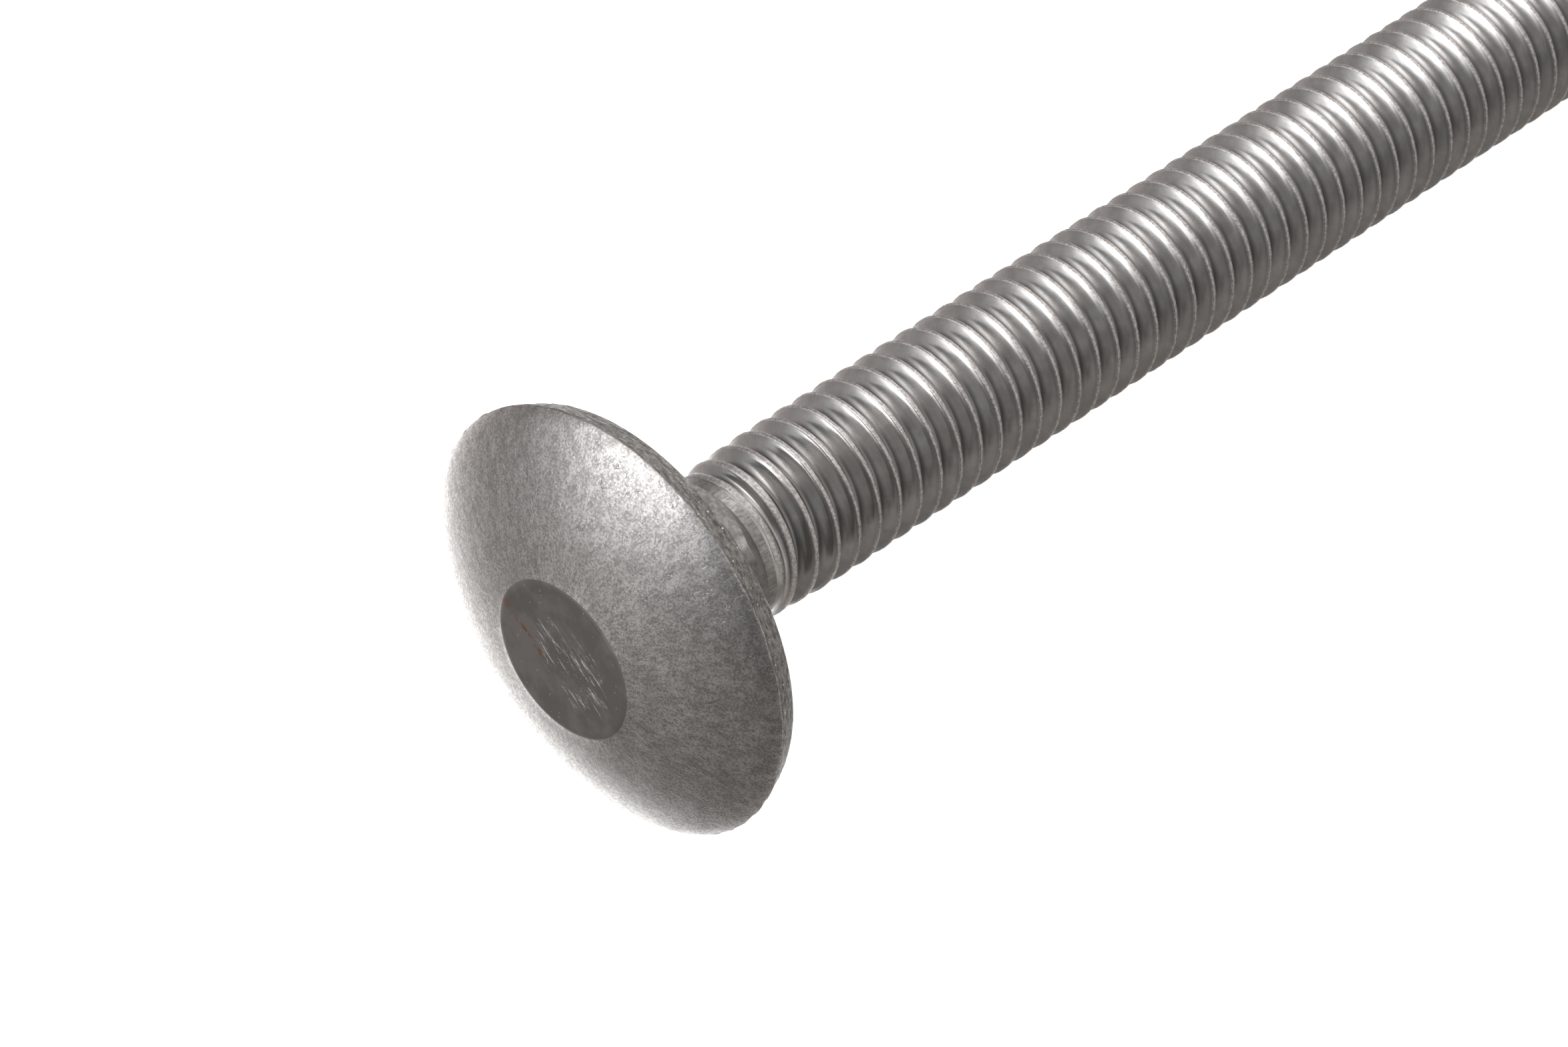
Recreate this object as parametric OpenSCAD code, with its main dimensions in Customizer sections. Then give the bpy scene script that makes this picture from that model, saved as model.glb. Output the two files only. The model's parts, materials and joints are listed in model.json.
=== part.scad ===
// Carriage bolt, one piece of upset and thread-rolled steel, lying on its side.
// It is turned about its own axis first, with the bearing face of the head at zero
// and the tip at +Z, and is then laid down on the rim of the head and the last thread.
// All sizes are in millimetres.

/* [Head] */
// Widest diameter, at the ridge where the dome meets the edge band
head_d = 16; // [13:0.1:22]
// Height of the whole head, from the bearing face to the flat on the crown
head_h = 3.2; // [2.6:0.1:4.4]
// Height of the rough edge band behind the ridge
edge_h = 0.88; // [0.3:0.02:1.2]
// Diameter of the bearing face, where the edge band ends
seat_d = 15.3; // [12.2:0.1:21]
// Diameter of the smooth flat on the crown
crown_d = 5.6; // [3:0.1:8]

/* [Square neck] */
// Width of the neck across its flats
neck_w = 5.9; // [5.4:0.1:7]
// Diameter over the neck's rounded corners
neck_corner_d = 7.8; // [7.4:0.1:8.4]
// Length of the neck with its full square section
neck_l = 2.8; // [2:0.1:5]
// Length over which the corners taper down to the shank
neck_taper_l = 1.1; // [0.5:0.1:2]

/* [Shank and thread] */
// Length from the bearing face to the tip
bolt_l = 60; // [30:1:120]
// Diameter of the rolled shank before the thread starts
shank_d = 5.36; // [5:0.02:5.8]
// Major diameter over the thread's crests
thread_d = 5.9; // [5.84:0.01:6]
// Pitch of the thread
pitch = 1; // [0.8:0.05:1.25]
// Angle between the two flanks of a groove
flank_angle = 60; // [50:1:60]
// Depth of a groove below the crests
thread_depth = 0.58; // [0.4:0.01:0.62]
// Width of the flat left on each crest
crest_w = 0.16; // [0.1:0.01:0.2]
// Plain length between the neck and the first groove
runout_l = 0.8; // [0.3:0.1:3]
// Length of the chamfer at the tip
tip_l = 1; // [0.5:0.1:2]
// Diameter of the flat end face
tip_d = 4.2; // [3.4:0.1:5]

/* [Hidden] */
$fn = 96;

// The dome is a ball's cap that leaves the ridge and is cut off at the crown's flat
cap_h = head_h - edge_h;
head_r = head_d / 2;
crown_r = crown_d / 2;
// Distance of the ball's centre behind the ridge, from the two circles that it passes
dome_back = (head_r ^ 2 - crown_r ^ 2 - cap_h ^ 2) / (2 * cap_h);
dome_r = sqrt(head_r ^ 2 + dome_back ^ 2);

// The grooves: every one has two straight flanks and a narrow flat at its root
flank_w = thread_depth * tan(flank_angle / 2);
root_w = pitch - crest_w - 2 * flank_w;
thread_r = thread_d / 2;
root_r = thread_r - thread_depth;
thread_start = neck_l + neck_taper_l + runout_l;
thread_end = bolt_l - tip_l;
groove_count = floor((thread_end - thread_start - crest_w) / pitch);
// The last crest runs on to the chamfer, and the first one starts here
first_crest = thread_end - groove_count * pitch - crest_w;

// Laid down, the bolt touches the surface with its ridge and with its last crest
lean = atan((head_r - thread_r) / (thread_end + edge_h));
axis_z = head_r * cos(lean) - edge_h * sin(lean);
x_low = -head_h * cos(lean) - crown_r * sin(lean);
x_high = bolt_l * cos(lean) + tip_d / 2 * sin(lean);

// A groove's outline in the half section, from its crest's end to the next crest's start
function groove(z) = [
    [thread_r, z],
    [root_r, z + flank_w],
    [root_r, z + flank_w + root_w],
    [thread_r, z + pitch - crest_w]
];

module dome() {
    intersection() {
        translate([0, 0, dome_back - edge_h]) sphere(r = dome_r);
        translate([0, 0, -head_h]) cylinder(r = head_r, h = cap_h);
    }
}

module edge_band() {
    translate([0, 0, -edge_h]) cylinder(d1 = head_d, d2 = seat_d, h = edge_h);
}

// The corners of a square bar, rounded by one cylinder and tapered by one cone
module square_neck() {
    intersection() {
        translate([-neck_w / 2, -neck_w / 2, 0])
            cube([neck_w, neck_w, neck_l + neck_taper_l]);
        union() {
            cylinder(d = neck_corner_d, h = neck_l);
            translate([0, 0, neck_l])
                cylinder(d1 = neck_corner_d, d2 = shank_d, h = neck_taper_l);
        }
    }
}

// The shank, its thread and its chamfered tip are one turned outline
module threaded_shank() {
    grooves = [
        for (i = [0 : groove_count - 1])
            each groove(first_crest + crest_w + i * pitch)
    ];
    outline = concat(
        [[0, 0], [shank_d / 2, 0], [shank_d / 2, first_crest - flank_w], [thread_r, first_crest]],
        grooves,
        [[thread_r, thread_end], [tip_d / 2, bolt_l], [0, bolt_l]]
    );
    rotate_extrude() polygon(outline);
}

module carriage_bolt() {
    color("#8b8886")
        translate([-(x_low + x_high) / 2, 0, axis_z])
            rotate([0, 90 + lean, 0])
                union() {
                    dome();
                    edge_band();
                    square_neck();
                    threaded_shank();
                }
}

carriage_bolt();
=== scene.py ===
import json
import math

import bmesh
import bpy
from mathutils import Matrix, Vector, noise


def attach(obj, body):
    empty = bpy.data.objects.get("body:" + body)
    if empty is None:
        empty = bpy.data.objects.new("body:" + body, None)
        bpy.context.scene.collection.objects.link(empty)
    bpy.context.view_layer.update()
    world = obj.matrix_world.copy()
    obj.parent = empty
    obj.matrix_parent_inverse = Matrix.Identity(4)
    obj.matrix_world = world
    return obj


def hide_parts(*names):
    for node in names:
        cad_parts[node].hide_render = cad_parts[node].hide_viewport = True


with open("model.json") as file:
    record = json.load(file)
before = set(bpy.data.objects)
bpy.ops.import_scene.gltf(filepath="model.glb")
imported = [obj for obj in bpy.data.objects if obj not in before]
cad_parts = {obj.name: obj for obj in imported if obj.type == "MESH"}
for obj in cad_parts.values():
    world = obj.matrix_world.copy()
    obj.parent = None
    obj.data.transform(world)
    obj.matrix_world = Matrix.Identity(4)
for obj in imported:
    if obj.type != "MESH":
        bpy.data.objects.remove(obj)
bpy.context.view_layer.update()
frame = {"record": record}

# The bolt's own frame, from the mounts: millimetres, the bearing face at zero, +Z to the tip
MOUNTS = {mount["name"]: mount for mount in frame["record"]["mounts"]}
MM = 0.001
AXIS = Vector(MOUNTS["thread"]["axis"])
THREAD_MIDDLE = Vector(MOUNTS["thread"]["pos_m"])
SEAT_POINT = Vector(MOUNTS["bearing_face"]["pos_m"])
SEAT_CENTRE = THREAD_MIDDLE + AXIS * (SEAT_POINT - THREAD_MIDDLE).dot(AXIS)
LEAN = math.atan2(-AXIS.z, AXIS.x)
LAID_DOWN = Matrix.Translation(SEAT_CENTRE) @ Matrix.Rotation(math.pi / 2 + LEAN, 4, "Y")

# Sizes that the solid has too, in millimetres
THREAD_R = MOUNTS["thread"]["dims"]["r_mm"]
THREAD_L = MOUNTS["thread"]["dims"]["length_mm"]
THREAD_END = (THREAD_MIDDLE - SEAT_CENTRE).length / MM + THREAD_L / 2
PITCH = 1.0
SHANK_R = 2.68
TIP_R = 2.1
TIP_L = 1.0
BOLT_L = THREAD_END + TIP_L
NECK_W = 5.9
NECK_CORNER_R = 3.9
NECK_L = 2.8
NECK_TAPER_L = 1.1
HEAD_R = 8.0
HEAD_H = 3.2
EDGE_H = 0.88
SEAT_R = 7.65
CROWN_R = 2.8

# Sizes of the details, in millimetres
HAND = -1                # 1 for a right-hand helix, -1 for a left-hand one
CREST_AT = 2.78          # middle of a crest on the underside, whole pitches from the real ones
PLAIN_END = 4.3          # where the smooth plain shank stops
THREAD_START = 4.62      # where the first groove starts to get its depth
THREAD_RISE = 0.3        # and the length that it takes for that
FIRST_CREST_CUT = 0.12   # how much lower the crests are at the start of the thread
FULL_CRESTS = 7.8        # where the crests have their full height
CREST_BAND = 0.07        # how far below its top a crest is rough
FIRST_CREST_BAND = 0.15  # how much farther than that at the start of the thread
ROUGH_CRESTS = 11.0      # where that surplus has faded out
CREST_TOP = 0.01
CREST_NOISE = 0.01
FOLD_AT = 4.55           # rough fold of metal that the rolling pushed up ahead of the thread
FOLD_W = 0.22
FOLD_H = 0.07
FOLD_MIDDLE = math.radians(-164)
NECK_STEP = 0.06         # a ring this far before the neck keeps the shank's shading straight
SEAT_FILLET = 0.25
FILLET_WAIST = 0.3       # share of the fillet's size at which its middle ring lies
SEAT_EDGE_W = 0.08       # the small round between the bearing face and the edge band
SEAT_EDGE_H = 0.06
RIDGE_ROUND = 0.05
RIDGE_NOISE = 0.036
RIDGE_BAND = 0.5         # how far inwards the dome shares the ridge's bumps
SHOULDER_H = 0.10        # how far the dome bulges beyond the ball's cap, just inside the ridge
SHOULDER_W = 0.17        # how soon it gets there
SHOULDER_BAND = 0.8      # and how far inwards it keeps that
CROWN_LIP = 0.16
CROWN_DIP = 0.03
CROWN_EASE = 0.2         # the crown is offset as a whole, up to this far outside it
CROWN_OFF_CENTRE = Vector((0.13, -0.18, 0))
TIP_DISH = 0.06

# How finely the mesh is cut: columns round the shank, twice as many round the head, and rows
SIDES = 120
EDGE_ROWS = 7
DOME_ROWS = 26
DOME_CROWDING = 1.6      # above 1, the dome's rows stand closer together towards the ridge
MERGE_REACH = 0.004
SLIVER = 0.0005
LOOP_REACH = 0.05

# One pitch of the thread: depth under the crest, and share of the pitch from a crest's middle
GROOVE = (
    (0.012, 0.0), (0.0, 0.035), (0.02, 0.065), (0.19, 0.165), (0.365, 0.265), (0.565, 0.4),
    (0.61, 0.5),
    (0.565, 0.6), (0.365, 0.735), (0.19, 0.835), (0.02, 0.935), (0.0, 0.965), (0.012, 1.0),
)

# Rings of the crown: share of its radius, and share of its dip
CROWN_RINGS = ((1.03, 0.0), (0.97, 0.35), (0.9, 0.7), (0.75, 0.9), (0.5, 1.0), (0.25, 1.0), (0.06, 1.0))

# Rings of the end face: share of its radius, and depth below the rim
TIP_RINGS = ((0.97, 0.0), (0.9, 0.04), (0.7, TIP_DISH), (0.4, TIP_DISH), (0.1, TIP_DISH))


def smooth_step(low, high, value):
    t = min(1.0, max(0.0, (value - low) / (high - low)))
    return t * t * (3 - 2 * t)


def wander(point, size, seed=0.0):
    """Smooth noise from -1 to 1 with lumps of about the given size."""
    return noise.noise(Vector(point) / size + Vector((seed, seed * 1.7, seed * 0.6)))


def on_ring(angle, radius, z):
    return (radius * math.cos(angle), radius * math.sin(angle), z)


# The bolt's mesh

FINISHES = (
    "thread_steel", "shank_steel", "neck_steel", "seat_steel", "rim_steel", "dome_steel", "crown_steel",
)


def turned_thread(bm):
    """Turns one pitch of the groove once round the axis, then repeats that turn past both ends."""
    line = [bm.verts.new((THREAD_R - depth, 0, CREST_AT + share * PITCH)) for depth, share in GROOVE]
    edges = [bm.edges.new(pair) for pair in zip(line, line[1:])]
    bmesh.ops.spin(
        bm, geom=line + edges, cent=(0, 0, 0), axis=(0, 0, 1), dvec=(0, 0, PITCH / SIDES),
        angle=HAND * 2 * math.pi, steps=SIDES, use_merge=False, use_duplicate=False,
    )
    turns = 1
    while CREST_AT + turns * PITCH < BOLT_L + PITCH:
        copied = bmesh.ops.duplicate(bm, geom=bm.verts[:] + bm.edges[:] + bm.faces[:])["geom"]
        moved = [item for item in copied if isinstance(item, bmesh.types.BMVert)]
        bmesh.ops.translate(bm, verts=moved, vec=(0, 0, turns * PITCH))
        turns *= 2
    bmesh.ops.remove_doubles(bm, verts=bm.verts, dist=MERGE_REACH)


def trim_thread(bm, crest):
    """Lets the grooves rise from the plain shank, roughens the crests and cuts the tip's chamfer.

    The attribute crest is 1 where the metal is rough, on the crests and on the fold.
    """
    for vert in bm.verts:
        x, y, z = vert.co
        radius = math.hypot(x, y)
        angle = math.atan2(y, x)
        crest_r = THREAD_R - FIRST_CREST_CUT * (1 - smooth_step(THREAD_START, FULL_CRESTS, z))
        band = CREST_BAND + FIRST_CREST_BAND * (1 - smooth_step(THREAD_START, ROUGH_CRESTS, z))
        height = smooth_step(crest_r - band, crest_r - CREST_TOP, radius)
        lumps = 1 + wander((x, y, z), size=0.3) + wander((x, y, z), size=0.13, seed=5.0)
        risen = smooth_step(THREAD_START, THREAD_START + THREAD_RISE, z)
        radius = min(radius, crest_r) - height * CREST_NOISE * lumps
        radius = SHANK_R + (radius - SHANK_R) * risen
        fold = max(0.0, 1 - ((z - FOLD_AT) / FOLD_W) ** 2)
        fold *= smooth_step(0.2, 0.6, math.cos(angle - FOLD_MIDDLE))
        radius += FOLD_H * fold * (0.7 + 0.3 * lumps)
        chamfer = TIP_R + (BOLT_L - z) * (THREAD_R - TIP_R) / TIP_L
        radius = min(radius, max(TIP_R, chamfer))
        vert[crest] = max(height * risen, smooth_step(0.0, 0.4, fold))
        vert.co = on_ring(angle, radius, min(BOLT_L, max(PLAIN_END, z)))
    bmesh.ops.remove_doubles(bm, verts=bm.verts, dist=MERGE_REACH)
    bmesh.ops.dissolve_degenerate(bm, edges=bm.edges, dist=SLIVER)


def open_loop(bm, z):
    """The edges of the open rim near a distance along the axis, put exactly there."""
    loop = [
        edge for edge in bm.edges
        if edge.is_boundary and all(abs(vert.co.z - z) < LOOP_REACH for vert in edge.verts)
    ]
    for edge in loop:
        for vert in edge.verts:
            vert.co.z = z
    return loop


def next_ring(bm, loop, finish, place, sharp=False):
    """Extrudes an open loop and puts each new vertex where place(angle) says: (radius, distance)."""
    for edge in loop:
        edge.smooth = not sharp
    grown = bmesh.ops.extrude_edge_only(bm, edges=loop)["geom"]
    for face in grown:
        if isinstance(face, bmesh.types.BMFace):
            face.material_index = FINISHES.index(finish)
    for vert in grown:
        if isinstance(vert, bmesh.types.BMVert):
            angle = math.atan2(vert.co.y, vert.co.x)
            vert.co = on_ring(angle, *place(angle))
    return [edge for edge in grown if isinstance(edge, bmesh.types.BMEdge) and edge.is_boundary]


def round_rings(bm, loop, finish, rings):
    """Adds one round ring after another, each (radius, distance)."""
    for ring in rings:
        loop = next_ring(bm, loop, finish, lambda angle, ring=ring: ring)
    return loop


def close_loop(bm, loop, z):
    """Draws an open loop together to one point on the axis."""
    rim = list({vert for edge in loop for vert in edge.verts})
    bmesh.ops.pointmerge(bm, verts=rim, merge_co=(0, 0, z))


def square_radius(angle):
    """Radius of the square neck with its rounded corners."""
    flat = NECK_W / 2 / max(abs(math.cos(angle)), abs(math.sin(angle)))
    return min(flat, NECK_CORNER_R)


def neck(bm, loop):
    """The plain shank, the tapered corners and the square neck, up to the bearing face."""
    foot = NECK_L + NECK_TAPER_L
    slope = NECK_TAPER_L / (NECK_CORNER_R - SHANK_R)
    waist = SEAT_FILLET * FILLET_WAIST

    def taper_end(angle):
        radius = square_radius(angle)
        return radius, foot - (radius - SHANK_R) * slope

    def grown_by(extra, z):
        return lambda angle: (square_radius(angle) + extra, z)

    loop = round_rings(bm, loop, "shank_steel", ((SHANK_R, foot + NECK_STEP), (SHANK_R, foot)))
    loop = next_ring(bm, loop, "neck_steel", taper_end, sharp=True)
    loop = next_ring(bm, loop, "neck_steel", grown_by(0.0, SEAT_FILLET), sharp=True)
    loop = next_ring(bm, loop, "neck_steel", grown_by(waist, waist))
    return next_ring(bm, loop, "neck_steel", grown_by(SEAT_FILLET, 0.0))


def bearing_face(bm, loop):
    """The flat under the head, with its columns doubled half way out."""
    half_way = (NECK_CORNER_R + SEAT_R) / 2
    loop = round_rings(bm, loop, "seat_steel", ((half_way, 0.0),))
    halved = bmesh.ops.subdivide_edges(bm, edges=loop, cuts=1)["geom_inner"]
    for vert in halved:
        if isinstance(vert, bmesh.types.BMVert):
            vert.co = vert.co.normalized() * half_way
    return round_rings(bm, open_loop(bm, 0.0), "seat_steel", ((SEAT_R - SEAT_EDGE_W, 0.0),))


def edge_band(bm, loop):
    """The rough band between the bearing face and the ridge, torn along its length."""
    for row in range(EDGE_ROWS + 1):
        share = row / EDGE_ROWS
        radius = SEAT_R + (HEAD_R - SEAT_R) * share
        z = -SEAT_EDGE_H - (EDGE_H - SEAT_EDGE_H) * share

        def torn(angle, radius=radius, z=z, share=share):
            x, y, z = point = on_ring(angle, radius, z)
            dents = wander((x, y, z * 4), size=0.5, seed=3.0) + 0.6 * wander(point, size=0.22, seed=8.0)
            nicks = max(0.0, wander(point, size=0.7, seed=11.0) - 0.25)
            slip = wander(point, size=0.6, seed=14.0) * RIDGE_NOISE * share
            return radius - RIDGE_NOISE * (0.9 + dents * 0.9 + nicks * 1.5), z + slip

        loop = next_ring(bm, loop, "rim_steel", torn)
    return loop


def dome(bm, loop):
    """The ball's cap from the ridge to the crown, with its slightly rounder shoulder."""
    cap_h = HEAD_H - EDGE_H
    back = (HEAD_R ** 2 - CROWN_R ** 2 - cap_h ** 2) / (2 * cap_h)
    ball_r = math.hypot(HEAD_R, back)
    first = math.asin((HEAD_R - RIDGE_ROUND) / ball_r)
    last = math.asin((CROWN_R + CROWN_LIP) / ball_r)
    for row in range(DOME_ROWS + 1):
        turn = first + (last - first) * (row / DOME_ROWS) ** DOME_CROWDING
        radius = ball_r * math.sin(turn)
        z = -EDGE_H + back - ball_r * math.cos(turn)
        bumpy = smooth_step(HEAD_R - RIDGE_BAND, HEAD_R, radius)
        bulge = SHOULDER_H * (1 - math.exp((radius - HEAD_R + RIDGE_ROUND) / SHOULDER_W))
        z -= bulge * smooth_step(CROWN_R, HEAD_R - SHOULDER_BAND, radius)

        def cap(angle, radius=radius, z=z, bumpy=bumpy):
            point = on_ring(angle, radius, z)
            bump = abs(wander(point, size=0.8, seed=21.0) * RIDGE_NOISE * 0.5 * bumpy)
            return radius - bump, z + 0.4 * bump

        loop = next_ring(bm, loop, "dome_steel", cap)
    return loop


def crown(bm, loop):
    """The nearly flat crown, which sits a little off the axis and takes the dome with it."""
    rings = [(CROWN_R * share, -HEAD_H + CROWN_DIP * drop) for share, drop in CROWN_RINGS]
    close_loop(bm, round_rings(bm, loop, "crown_steel", rings), -HEAD_H + CROWN_DIP)
    for vert in bm.verts:
        if vert.co.z < -EDGE_H:
            radius = math.hypot(vert.co.x, vert.co.y)
            outward = smooth_step(CROWN_R + CROWN_EASE, HEAD_R - RIDGE_BAND, radius)
            vert.co += CROWN_OFF_CENTRE * (1 - outward)


def tip(bm, loop):
    """The flat end face inside the chamfer, a little dished as a sheared end is."""
    rings = [(TIP_R * share, BOLT_L - dish) for share, dish in TIP_RINGS]
    close_loop(bm, round_rings(bm, loop, "shank_steel", rings), BOLT_L - TIP_DISH)


def carriage_bolt():
    """The whole bolt as one closed mesh, laid down where the solid lies."""
    bm = bmesh.new()
    crest = bm.verts.layers.float.new("crest")
    turned_thread(bm)
    trim_thread(bm, crest)
    tip(bm, open_loop(bm, BOLT_L))
    loop = neck(bm, open_loop(bm, PLAIN_END))
    loop = bearing_face(bm, loop)
    loop = edge_band(bm, loop)
    loop = dome(bm, loop)
    crown(bm, loop)
    bmesh.ops.recalc_face_normals(bm, faces=bm.faces)
    for face in bm.faces:
        face.smooth = True
    bmesh.ops.scale(bm, verts=bm.verts, vec=(MM, MM, MM))
    bmesh.ops.transform(bm, matrix=LAID_DOWN, verts=bm.verts)
    mesh = bpy.data.meshes.new("bolt_body")
    bm.to_mesh(mesh)
    bm.free()
    bolt = bpy.data.objects.new("bolt_body", mesh)
    bpy.context.scene.collection.objects.link(bolt)
    return bolt


# Finishes

# The dark and the light end of each finish's grain
DOME_GRAIN = ((0.25, 0.243, 0.238), (0.50, 0.49, 0.482))
CROWN_GRAIN = ((0.20, 0.193, 0.187), (0.26, 0.25, 0.243))
RIM_GRAIN = ((0.11, 0.103, 0.098), (0.33, 0.317, 0.305))
FLANK_GRAIN = ((0.37, 0.366, 0.36), (0.45, 0.445, 0.438))
CREST_GRAIN = ((0.34, 0.325, 0.315), (0.60, 0.58, 0.565))
SHANK_GRAIN = ((0.22, 0.213, 0.208), (0.36, 0.35, 0.342))
PRESSED_GRAIN = ((0.20, 0.193, 0.188), (0.32, 0.31, 0.302))

# Single colours: in cracks and as painted shade in the thread's roots, in stains, in drawn streaks, on
# scratches and on flecks
CRACK_AND_ROOT_SHADE_STEEL = (0.12, 0.11, 0.105)
STAINED_STEEL = (0.21, 0.20, 0.193)
DRAWN_STEEL = (0.27, 0.258, 0.25)
SCRATCHED_STEEL = (0.60, 0.58, 0.56)
BRIGHT_STEEL = (0.85, 0.82, 0.79)
RUST = (0.27, 0.135, 0.08)

# The crown's scratches: their direction, how they are drawn out, and the patch that has them
SCRATCH_TURN = math.radians(53.75)
SCRATCH_STRETCH = (0.9, 8.0, 1.0)
PATCH_SHAPE = (0.6, 0.85, 0.0)
PATCH_SHIFT = (-0.25, 0.1, 0.0)

# The thread of rust on the crown, in the scratches' coordinates
RUST_Y = 1.2
RUST_X = (-0.2, -0.6)
RUST_W = (0.16, 0.04)

# Depth below the crests at which the painted shade in the roots starts, and at which it is darkest
ROOT_SHADE_DEPTHS = (0.42, 0.58)

# A Mix node's colour sockets share their names with its number sockets, so they go by place
MIX_FIRST, MIX_SECOND, MIX_RESULT = 6, 7, 2


class Finish:
    """A steel material with bolt-frame coordinates in millimetres."""

    def __init__(self, name):
        self.material = bpy.data.materials.new(name)
        self.material.use_nodes = True
        self.tree = self.material.node_tree
        self.shader = self.tree.nodes["Principled BSDF"]
        self.shader.inputs["Metallic"].default_value = 1.0
        coordinates = self.node("ShaderNodeTexCoord")
        to_bolt = self.node("ShaderNodeMapping", vector_type="TEXTURE")
        to_bolt.inputs["Location"].default_value = SEAT_CENTRE
        to_bolt.inputs["Rotation"].default_value = (0, math.pi / 2 + LEAN, 0)
        to_bolt.inputs["Scale"].default_value = (MM, MM, MM)
        self.link(coordinates.outputs["Object"], to_bolt.inputs["Vector"])
        self.place = to_bolt.outputs["Vector"]

    def link(self, source, target):
        self.tree.links.new(source, target)

    def node(self, kind, **settings):
        made = self.tree.nodes.new(kind)
        for key, value in settings.items():
            setattr(made, key, value)
        return made

    def feed(self, socket, value):
        """Sets a socket to a number or a colour, or links it to a node's output."""
        if isinstance(value, (int, float)):
            socket.default_value = value
        elif isinstance(value, tuple):
            socket.default_value = (*value, 1.0)[:len(socket.default_value)]
        else:
            self.link(value, socket)

    def math(self, operation, first, second=0.0):
        made = self.node("ShaderNodeMath", operation=operation)
        self.feed(made.inputs[0], first)
        self.feed(made.inputs[1], second)
        return made.outputs["Value"]

    def mixed(self, share, first, second):
        """A share of the first value and the rest of the second."""
        return self.math(
            "ADD", self.math("MULTIPLY", first, share), self.math("MULTIPLY", second, 1 - share))

    def vector(self, operation, first, second=(0.0, 0.0, 0.0), third=(0.0, 0.0, 0.0)):
        made = self.node("ShaderNodeVectorMath", operation=operation)
        for socket, value in zip(made.inputs, (first, second, third)):
            self.feed(socket, value)
        return made.outputs["Value" if operation == "LENGTH" else "Vector"]

    def parts(self, vector):
        """The X, Y and Z of a vector."""
        split = self.node("ShaderNodeSeparateXYZ")
        self.link(vector, split.inputs["Vector"])
        return split.outputs

    def flat(self):
        """The coordinates without their distance along the axis."""
        return self.vector("MULTIPLY", self.place, (1.0, 1.0, 0.0))

    def turned(self, centre, turn):
        """The coordinates from a centre, turned about the axis."""
        mapping = self.node("ShaderNodeMapping")
        mapping.inputs["Rotation"].default_value = (0, 0, turn)
        self.link(self.vector("SUBTRACT", self.place, centre), mapping.inputs["Vector"])
        return mapping.outputs["Vector"]

    def warped(self, amount, scale):
        """The coordinates pushed about by noise, so that lines get wavering."""
        texture = self.node("ShaderNodeTexNoise")
        texture.inputs["Scale"].default_value = scale
        texture.inputs["Detail"].default_value = 3
        self.link(self.place, texture.inputs["Vector"])
        return self.vector("MULTIPLY_ADD", texture.outputs["Color"], (amount, amount, amount), self.place)

    def noise(self, scale, detail=3.0, roughness=0.55, distortion=0.0, place=None):
        texture = self.node("ShaderNodeTexNoise")
        texture.inputs["Scale"].default_value = scale
        texture.inputs["Detail"].default_value = detail
        texture.inputs["Roughness"].default_value = roughness
        texture.inputs["Distortion"].default_value = distortion
        self.link(place or self.place, texture.inputs["Vector"])
        return texture.outputs["Fac"]

    def round_noise(self, along, across, detail=4.0):
        """Noise drawn out round the axis: lumps per radian along the ring, per millimetre across it."""
        flat = self.flat()
        texture = self.node("ShaderNodeTexNoise", noise_dimensions="4D")
        texture.inputs["Scale"].default_value = 1.0
        texture.inputs["Detail"].default_value = detail
        texture.inputs["Roughness"].default_value = 0.65
        ring = self.vector("MULTIPLY", self.vector("NORMALIZE", flat), (along, along, along))
        self.link(ring, texture.inputs["Vector"])
        reach = self.math("ADD", self.vector("LENGTH", flat), self.parts(self.place)["Z"])
        self.link(self.math("MULTIPLY", reach, across), texture.inputs["W"])
        return texture.outputs["Fac"]

    def cracks(self, scale, width, place):
        """Thin lines between irregular cells: 0 in a line, 1 away from it."""
        cells = self.node("ShaderNodeTexVoronoi", feature="DISTANCE_TO_EDGE")
        cells.inputs["Scale"].default_value = scale
        self.link(place, cells.inputs["Vector"])
        return self.remap(cells.outputs["Distance"], 0.0, width)

    def specks(self, scale, size):
        """Sparse round specks: 1 inside, 0 outside."""
        cells = self.node("ShaderNodeTexVoronoi")
        cells.inputs["Scale"].default_value = scale
        self.link(self.place, cells.inputs["Vector"])
        return self.remap(cells.outputs["Distance"], size, size * 0.4)

    def remap(self, value, low, high, to_low=0.0, to_high=1.0):
        """Eases from to_low, where the value is low, to to_high, where it is high."""
        changed = self.node("ShaderNodeMapRange", interpolation_type="SMOOTHSTEP")
        changed.inputs["From Min"].default_value = low
        changed.inputs["From Max"].default_value = high
        changed.inputs["To Min"].default_value = to_low
        changed.inputs["To Max"].default_value = to_high
        self.link(value, changed.inputs["Value"])
        return changed.outputs["Result"]

    def blend(self, share, first, second):
        """The first colour where the share is 0, the second where it is 1."""
        mix = self.node("ShaderNodeMix", data_type="RGBA")
        self.feed(mix.inputs["Factor"], share)
        self.feed(mix.inputs[MIX_FIRST], first)
        self.feed(mix.inputs[MIX_SECOND], second)
        return mix.outputs[MIX_RESULT]

    def paint(self, colour):
        self.link(colour, self.shader.inputs["Base Color"])

    def gloss(self, roughness):
        self.link(roughness, self.shader.inputs["Roughness"])

    def relief(self, *layers):
        """Bump layers, each (height output, depth in millimetres, strength)."""
        normal = None
        for height, depth, strength in layers:
            bump = self.node("ShaderNodeBump")
            bump.inputs["Distance"].default_value = depth * MM
            bump.inputs["Strength"].default_value = strength
            self.link(height, bump.inputs["Height"])
            if normal:
                self.link(normal, bump.inputs["Normal"])
            normal = bump.outputs["Normal"]
        self.link(normal, self.shader.inputs["Normal"])


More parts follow.
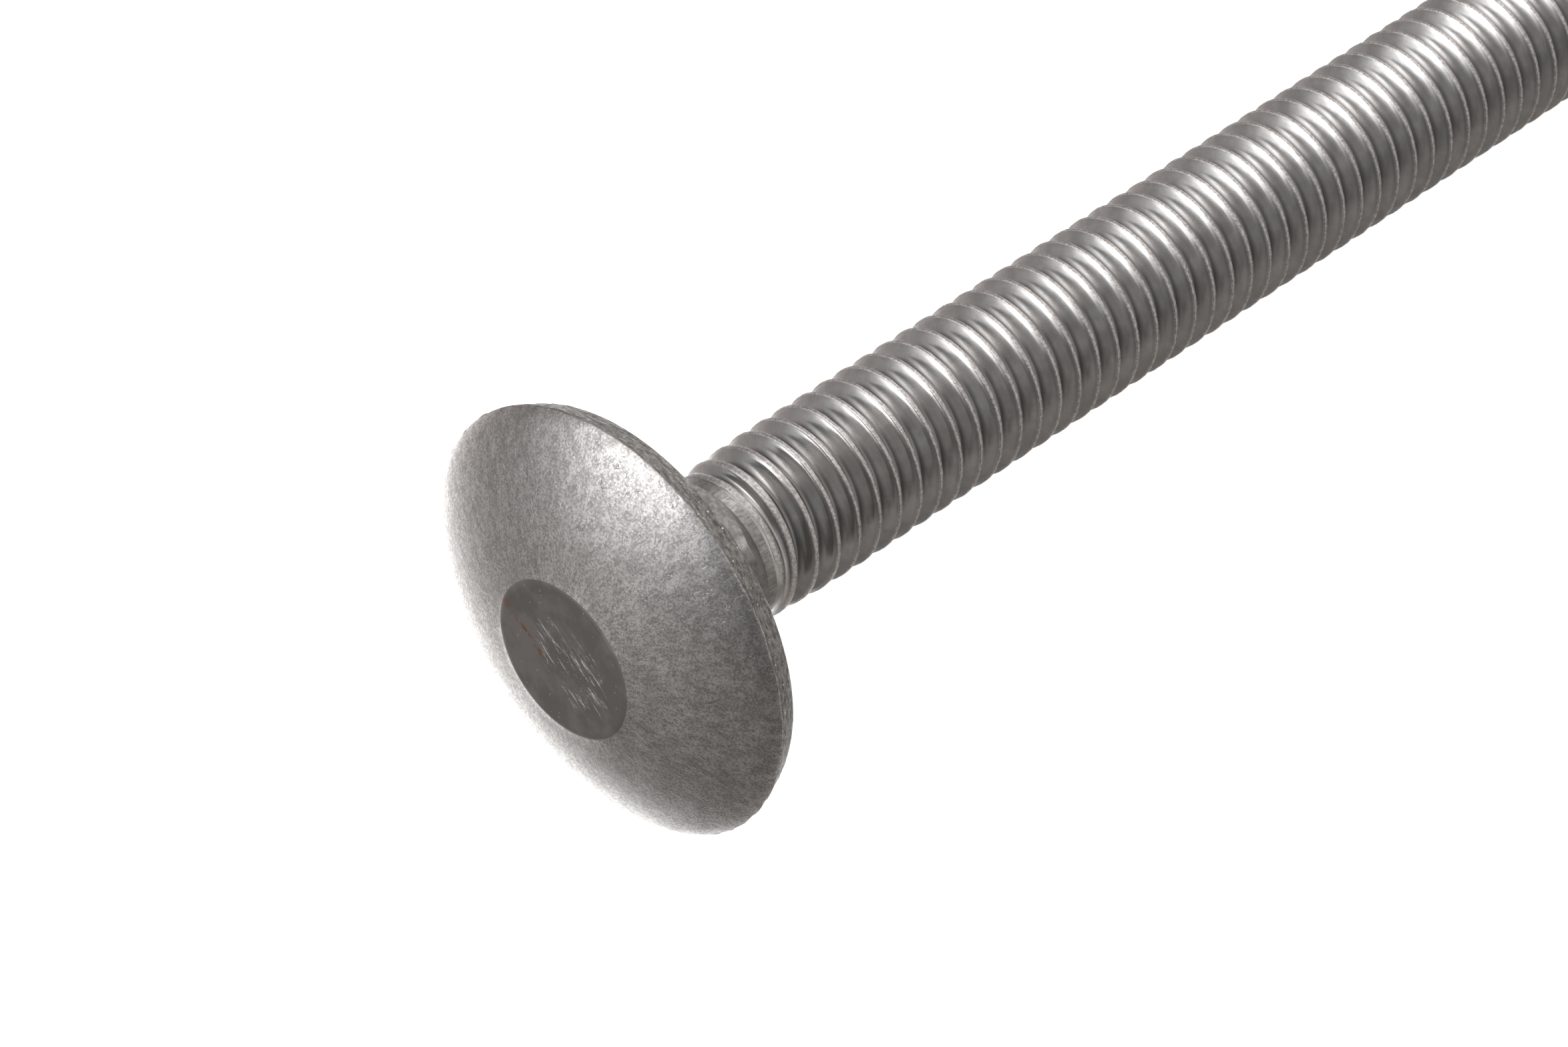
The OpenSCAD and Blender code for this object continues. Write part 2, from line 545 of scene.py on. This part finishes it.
def dome_steel():
    """Leathery upset grain that fans out from the crown, with a few short hairline cracks."""
    finish = Finish("dome_steel")
    grain = finish.noise(11.0, detail=5, roughness=0.8)
    fan = finish.round_noise(26.0, 1.6, detail=3.0)
    mottle = finish.noise(1.5, detail=5, roughness=0.7)
    wavering = finish.warped(0.35, scale=2.4)
    broken = finish.remap(finish.noise(2.6, detail=2), 0.36, 0.44)
    lines = finish.math("MAXIMUM", finish.cracks(4.0, width=0.05, place=wavering), broken)
    colour = finish.blend(finish.remap(finish.mixed(0.7, grain, fan), 0.42, 0.58), *DOME_GRAIN)
    colour = finish.blend(finish.remap(mottle, 0.38, 0.58, 0.35, 0.0), colour, STAINED_STEEL)
    colour = finish.blend(finish.remap(lines, 0.0, 1.0, 0.5, 0.0), colour, CRACK_AND_ROOT_SHADE_STEEL)
    finish.paint(colour)
    finish.gloss(finish.remap(grain, 0.4, 0.6, 0.32, 0.22))
    finish.relief((grain, 0.016, 0.6), (lines, 0.01, 0.5))
    return finish.material


def crown_steel():
    """The smooth pressed crown, with scratches across it and a thread of rust."""
    finish = Finish("crown_steel")
    level = finish.turned(tuple(CROWN_OFF_CENTRE), SCRATCH_TURN)

    drawn_out = finish.vector("MULTIPLY", level, SCRATCH_STRETCH)
    streaks = finish.noise(1.0, detail=5, roughness=0.75, distortion=0.4, place=drawn_out)
    from_patch = finish.vector("LENGTH", finish.vector("MULTIPLY_ADD", level, PATCH_SHAPE, PATCH_SHIFT))
    ragged = finish.math("ADD", from_patch, finish.noise(1.8, detail=4, roughness=0.7))
    patch = finish.remap(ragged, 1.75, 1.35)
    scratched = finish.math("MULTIPLY", finish.remap(streaks, 0.57, 0.64), patch)
    here_and_there = finish.remap(finish.noise(1.4), 0.5, 0.6)
    dots = finish.math("MULTIPLY", finish.specks(5.0, size=0.16), here_and_there)
    scratched = finish.math("MAXIMUM", scratched, finish.math("MULTIPLY", dots, 0.7))

    plain = finish.blend(finish.remap(finish.noise(0.8), 0.4, 0.6), *CROWN_GRAIN)
    colour = finish.blend(scratched, plain, SCRATCHED_STEEL)

    along = finish.parts(level)
    wave = finish.math("MULTIPLY", finish.noise(1.2, detail=4), 0.5)
    from_line = finish.math("SUBTRACT", finish.math("ADD", along["Y"], wave), RUST_Y)
    on_line = finish.remap(finish.math("ABSOLUTE", from_line), *RUST_W)
    rusty = finish.math("MULTIPLY", on_line, finish.remap(along["X"], *RUST_X))
    rusty = finish.math("MULTIPLY", rusty, finish.remap(finish.noise(4.0, detail=4), 0.4, 0.55))

    finish.paint(finish.blend(rusty, colour, RUST))
    finish.gloss(finish.remap(scratched, 0.0, 1.0, 0.24, 0.42))
    finish.relief((streaks, 0.01, 0.35), (scratched, 0.02, 0.5))
    return finish.material


def rim_steel():
    """The trimmed edge: drawn out round the head, with bright flecks."""
    finish = Finish("rim_steel")
    drawn = finish.round_noise(24.0, 14.0)
    grain = finish.noise(10.0, detail=4, roughness=0.75)
    here_and_there = finish.remap(finish.noise(2.0, detail=4), 0.5, 0.6)
    flecks = finish.math("MULTIPLY", finish.specks(3.6, size=0.2), here_and_there)
    colour = finish.blend(finish.remap(finish.mixed(0.7, drawn, grain), 0.40, 0.62), *RIM_GRAIN)
    finish.paint(finish.blend(flecks, colour, BRIGHT_STEEL))
    finish.gloss(finish.remap(grain, 0.35, 0.65, 0.45, 0.3))
    finish.relief((drawn, 0.09, 0.9), (grain, 0.05, 0.9), (flecks, 0.03, 0.6))
    return finish.material


def thread_steel():
    """Smooth rolled flanks under narrow, rough crests, with painted shade that darkens the roots."""
    finish = Finish("thread_steel")
    attribute = finish.node("ShaderNodeAttribute", attribute_name="crest").outputs["Fac"]
    crest = finish.remap(attribute, 0.6, 0.95)
    crumbs = finish.noise(9.0, detail=4, roughness=0.7)
    drawn = finish.round_noise(6.0, 5.0, detail=2.0)

    flank = finish.blend(finish.remap(finish.noise(1.3, detail=4), 0.35, 0.65), *FLANK_GRAIN)
    flank = finish.blend(finish.remap(drawn, 0.35, 0.65, 0.12, 0.0), flank, DRAWN_STEEL)

    # Painted shade: the roots get darker the deeper they lie below the crests, and this fades out just
    # before the tip
    radius = finish.vector("LENGTH", finish.flat())
    painted_root_shade = finish.remap(radius, THREAD_R - ROOT_SHADE_DEPTHS[0], THREAD_R - ROOT_SHADE_DEPTHS[1], 0.0, 0.75)
    before_tip = finish.remap(finish.parts(finish.place)["Z"], THREAD_END + 0.2, THREAD_END - 0.1)
    flank = finish.blend(finish.math("MULTIPLY", painted_root_shade, before_tip), flank, CRACK_AND_ROOT_SHADE_STEEL)

    rough_crest = finish.blend(finish.remap(crumbs, 0.36, 0.64), *CREST_GRAIN)
    finish.paint(finish.blend(crest, flank, rough_crest))
    finish.gloss(finish.remap(crest, 0.0, 1.0, 0.2, 0.36))
    finish.relief((finish.math("MULTIPLY", crumbs, crest), 0.03, 0.6), (drawn, 0.004, 0.3))
    return finish.material


def shank_steel():
    """The plain rolled shank, finely brushed along the axis."""
    finish = Finish("shank_steel")
    grain = finish.noise(7.0, detail=4, roughness=0.65)
    lengthwise = finish.vector("MULTIPLY", finish.place, (9.0, 9.0, 1.8))
    brushed = finish.noise(1.0, detail=4, roughness=0.7, place=lengthwise)
    tone = finish.mixed(0.4, grain, brushed)
    finish.paint(finish.blend(finish.remap(tone, 0.40, 0.60), *SHANK_GRAIN))
    finish.gloss(finish.remap(grain, 0.35, 0.65, 0.4, 0.3))
    finish.relief((tone, 0.02, 0.5))
    return finish.material


def pressed_steel(name):
    """The neck and the bearing face, pressed by the die."""
    finish = Finish(name)
    grain = finish.noise(5.0, detail=5, roughness=0.65)
    tone = finish.mixed(0.5, grain, finish.round_noise(10.0, 6.0))
    finish.paint(finish.blend(finish.remap(tone, 0.40, 0.60), *PRESSED_GRAIN))
    finish.gloss(finish.remap(grain, 0.35, 0.65, 0.42, 0.3))
    finish.relief((tone, 0.025, 0.5))
    return finish.material


# The stage

VIEW_AZIMUTH = math.radians(-45.76)
VIEW_ELEVATION = math.radians(45.42)
PHOTO_WIDTH, PHOTO_HEIGHT = 2348, 1568
FOCAL_PIXELS = 9715
SEAT_PIXEL = (940.4, 913.4)    # where the middle of the bearing face would show
SEAT_DISTANCE = 0.2139         # and how far it lies from the camera, in metres
SENSOR_MM = 36
FLOOR_R = 2.5
FLOOR_GLOW = 0.8


def camera():
    """Stands where the photograph was taken from, level, looking down on the head."""
    right = Vector((math.cos(VIEW_AZIMUTH), math.sin(VIEW_AZIMUTH), 0))
    back = Vector((
        math.sin(VIEW_AZIMUTH) * math.cos(VIEW_ELEVATION),
        -math.cos(VIEW_AZIMUTH) * math.cos(VIEW_ELEVATION),
        math.sin(VIEW_ELEVATION),
    ))
    up = back.cross(right)
    data = bpy.data.cameras.new("camera")
    data.sensor_width = SENSOR_MM
    data.lens = FOCAL_PIXELS / PHOTO_WIDTH * SENSOR_MM
    data.clip_start = 0.01
    placed = bpy.data.objects.new("camera", data)
    bpy.context.scene.collection.objects.link(placed)
    across = (SEAT_PIXEL[0] - PHOTO_WIDTH / 2) / FOCAL_PIXELS * SEAT_DISTANCE
    below = (SEAT_PIXEL[1] - PHOTO_HEIGHT / 2) / FOCAL_PIXELS * SEAT_DISTANCE
    spot = SEAT_CENTRE - right * across + up * below + back * SEAT_DISTANCE
    placed.matrix_world = Matrix((
        (right.x, up.x, back.x, spot.x),
        (right.y, up.y, back.y, spot.y),
        (right.z, up.z, back.z, spot.z),
        (0, 0, 0, 1),
    ))
    bpy.context.scene.camera = placed


# Soft glows that the metal mirrors: azimuth from +X towards +Y, elevation, sharpness, colour
GLOWS = (
    (156, 37, 17, (5.0, 5.0, 5.05)),
    (155, 8, 7, (0.8, 0.79, 0.79)),
    (138, 68, 8, (0.95, 0.93, 0.91)),
    (0, 77, 8, (0.75, 0.71, 0.70)),
    (18, 46, 26, (1.6, 1.6, 1.6)),
    (20, 35, 8, (0.55, 0.52, 0.50)),
    (8, -4, 8, (1.15, 1.1, 1.05)),
    (48, -61, 8, (1.0, 1.0, 1.0)),
    (64, -50, 22, (2.6, 2.6, 2.6)),
    (80, -39, 8, (0.6, 0.55, 0.53)),
    (28, -28, 8, (0.8, 0.8, 0.8)),
    (-77, -10, 8, (0.62, 0.59, 0.56)),
    (-90, -56, 8, (0.56, 0.50, 0.46)),
    (-65, 28, 8, (0.5, 0.49, 0.48)),
    (-104, 40, 6, (0.58, 0.58, 0.58)),
    (93, 1, 8, (0.33, 0.30, 0.29)),
    (165, -32, 8, (0.34, 0.31, 0.29)),
    (-32, 46, 8, (0.27, 0.27, 0.25)),
    (60, -13, 8, (0.22, 0.22, 0.22)),
    (113, -22, 8, (0.16, 0.15, 0.15)),
    (-158, -24, 8, (0.24, 0.23, 0.222)),
)


def direction(azimuth, elevation):
    """A unit vector from two angles in degrees."""
    azimuth, elevation = math.radians(azimuth), math.radians(elevation)
    flat = math.cos(elevation)
    return Vector((flat * math.cos(azimuth), flat * math.sin(azimuth), math.sin(elevation)))


def studio():
    """A room of soft glows, each colour * exp(sharpness * (cos(angle from its middle) - 1))."""
    world = bpy.data.worlds.new("studio")
    world.use_nodes = True
    bpy.context.scene.world = world
    nodes, link = world.node_tree.nodes, world.node_tree.links.new

    def node(kind, operation):
        made = nodes.new(kind)
        made.operation = operation
        return made

    around = nodes.new("ShaderNodeTexCoord").outputs["Generated"]
    total = None
    for azimuth, elevation, sharpness, colour in GLOWS:
        near = node("ShaderNodeVectorMath", "DOT_PRODUCT")
        near.inputs[1].default_value = direction(azimuth, elevation)
        link(around, near.inputs[0])
        fall = node("ShaderNodeMath", "MULTIPLY_ADD")
        fall.inputs[1].default_value = sharpness
        fall.inputs[2].default_value = -sharpness
        link(near.outputs["Value"], fall.inputs[0])
        glow = node("ShaderNodeMath", "EXPONENT")
        link(fall.outputs["Value"], glow.inputs[0])
        lit = node("ShaderNodeVectorMath", "MULTIPLY_ADD")
        lit.inputs[1].default_value = colour
        link(glow.outputs["Value"], lit.inputs[0])
        if total:
            link(total, lit.inputs[2])
        else:
            lit.inputs[2].default_value = (0, 0, 0)
        total = lit.outputs["Vector"]
    link(total, nodes["Background"].inputs["Color"])


def floor():
    """A pale floor that glows a little itself, so that its shadows stay faint."""
    bm = bmesh.new()
    bmesh.ops.create_circle(bm, cap_ends=True, segments=64, radius=FLOOR_R)
    mesh = bpy.data.meshes.new("floor")
    bm.to_mesh(mesh)
    bm.free()
    ground = bpy.data.objects.new("floor", mesh)
    bpy.context.scene.collection.objects.link(ground)
    pale = bpy.data.materials.new("pale_floor")
    pale.use_nodes = True
    shader = pale.node_tree.nodes["Principled BSDF"]
    shader.inputs["Base Color"].default_value = (0.9, 0.9, 0.9, 1)
    shader.inputs["Roughness"].default_value = 0.9
    shader.inputs["Emission Color"].default_value = (1, 1, 1, 1)
    shader.inputs["Emission Strength"].default_value = FLOOR_GLOW
    mesh.materials.append(pale)
    ground.visible_glossy = False


camera()
studio()
floor()
bpy.context.scene.view_settings.view_transform = "Standard"

# The materials come in the order of FINISHES
bolt = carriage_bolt()
for made in (thread_steel(), shank_steel(), pressed_steel("neck_steel"), pressed_steel("seat_steel"),
             rim_steel(), dome_steel(), crown_steel()):
    bolt.data.materials.append(made)
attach(bolt, "root")
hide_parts("carriage_bolt")
